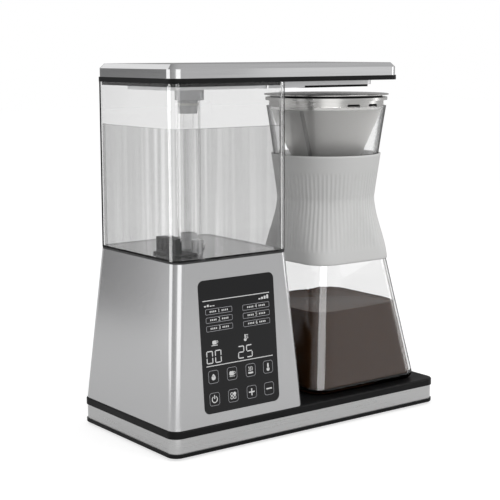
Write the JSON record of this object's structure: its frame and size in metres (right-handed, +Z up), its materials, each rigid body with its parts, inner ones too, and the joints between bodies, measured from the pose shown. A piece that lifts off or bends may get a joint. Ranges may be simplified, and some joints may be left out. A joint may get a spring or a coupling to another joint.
{
  "type": "coffee and tea maker",
  "caption": "Coffee and tea maker: clear water tank over a tapered tower with a touch panel, and a lid that bridges across to a waisted glass carafe with a cone filter",
  "frame": {"origin": "middle of the slab, on the surface that the rubber feet stand on", "axes": "+X runs along the long front from the tank to the carafe, -Y faces the user, +Z is up"},
  "size_m": [0.3176, 0.1572, 0.342],
  "materials": {
    "black_plastic": "fine matte black moulding",
    "silver": "satin silver metal",
    "band": "brushed band",
    "black_glass": "black glass with printed symbols",
    "clear_plastic": "clear moulded plastic",
    "clear_glass": "clear glass",
    "silicone": "ribbed silicone",
    "black_rubber": "rubber",
    "white_silicone": "silicone tube",
    "steel": "stainless steel",
    "steel_mesh": "etched stainless mesh",
    "zinc": "zinc plated",
    "board": "green circuit board",
    "white_plastic": "white moulding",
    "grey_plastic": "grey moulding",
    "aluminium": "plain aluminium",
    "blue_plastic": "blue relay case",
    "iron": "iron core",
    "brass": "brass",
    "foam": "closed foam float"
  },
  "bodies": {
    "machine": {"base_pan": "black_plastic", "base_band": "band", "base_deck": "black_plastic", "rubber_feet": "black_rubber", "base_screws": "zinc", "warming_plate": "black_plastic", "plate_heater": "iron", "plate_clamp": "steel", "plate_sensor": "brass", "housing_shell": "silver", "housing_screws": "zinc", "housing_tray": "grey_plastic", "panel_glass": "black_glass", "panel_frame": "black_plastic", "touch_board": "board", "display_module": "white_plastic", "small_screws": "zinc", "power_board": "board", "transformer": "iron", "heater_relay": "blue_plastic", "terminal_block": "white_plastic", "cord_gland": "black_rubber", "tank_seal": "black_rubber", "water_tank": "clear_plastic", "intake_strainer": "grey_plastic", "tank_nuts": "black_plastic", "float_cage": "black_plastic", "riser_base": "grey_plastic", "riser_tube": "clear_plastic", "riser_sheath": "clear_plastic", "pump_housing": "white_plastic", "pump_motor": "steel", "pump_stand": "black_plastic", "heater_body": "aluminium", "heating_element": "steel", "heater_bracket": "steel", "bracket_screws": "zinc", "thermal_cutoffs": "white_plastic", "hose_clamps": "zinc", "intake_hose": "white_silicone", "pump_hose": "white_silicone", "riser_hose": "white_silicone"},
    "lid": {"lid_base": "black_plastic", "lid_cover": "silver", "duct_tray": "grey_plastic", "duct_gasket": "white_silicone", "lid_screws": "zinc", "coupling_block": "grey_plastic", "coupling_cone": "grey_plastic", "coupling_ring": "black_rubber", "shower_plate": "black_plastic"},
    "carafe": {"carafe_glass": "clear_glass", "carafe_sleeve": "silicone"},
    "filter": {"filter_collar": "steel", "filter_mesh": "steel_mesh", "filter_tip": "steel"},
    "filter_top": {"filter_lid": "steel", "filter_seal": "black_rubber"},
    "float": {"level_float": "foam"},
    "rotor": {"pump_rotor": "white_plastic"}
  },
  "joints": [
    {"name": "lid_lift", "type": "slide", "parent": "machine", "child": "lid", "axis": [0, 0, 1], "range_m": [0, 0.12]},
    {"name": "carafe_pull", "type": "slide", "parent": "machine", "child": "carafe", "axis": [0, -1, 0], "range_m": [0, 0.17]},
    {"name": "filter_lift", "type": "slide", "parent": "carafe", "child": "filter", "axis": [0, 0, 1], "range_m": [0, 0.003]},
    {"name": "filter_top_lift", "type": "slide", "parent": "filter", "child": "filter_top", "axis": [0, 0, 1], "range_m": [0, 0.003]},
    {"name": "float_rise", "type": "slide", "parent": "machine", "child": "float", "axis": [0, 0, 1], "range_m": [0, 0.0065]},
    {"name": "rotor_spin", "type": "hinge", "parent": "machine", "child": "rotor", "pos_m": [-0.105, -0.038, 0.1], "axis": [0, 0, 1], "continuous": true}
  ]
}
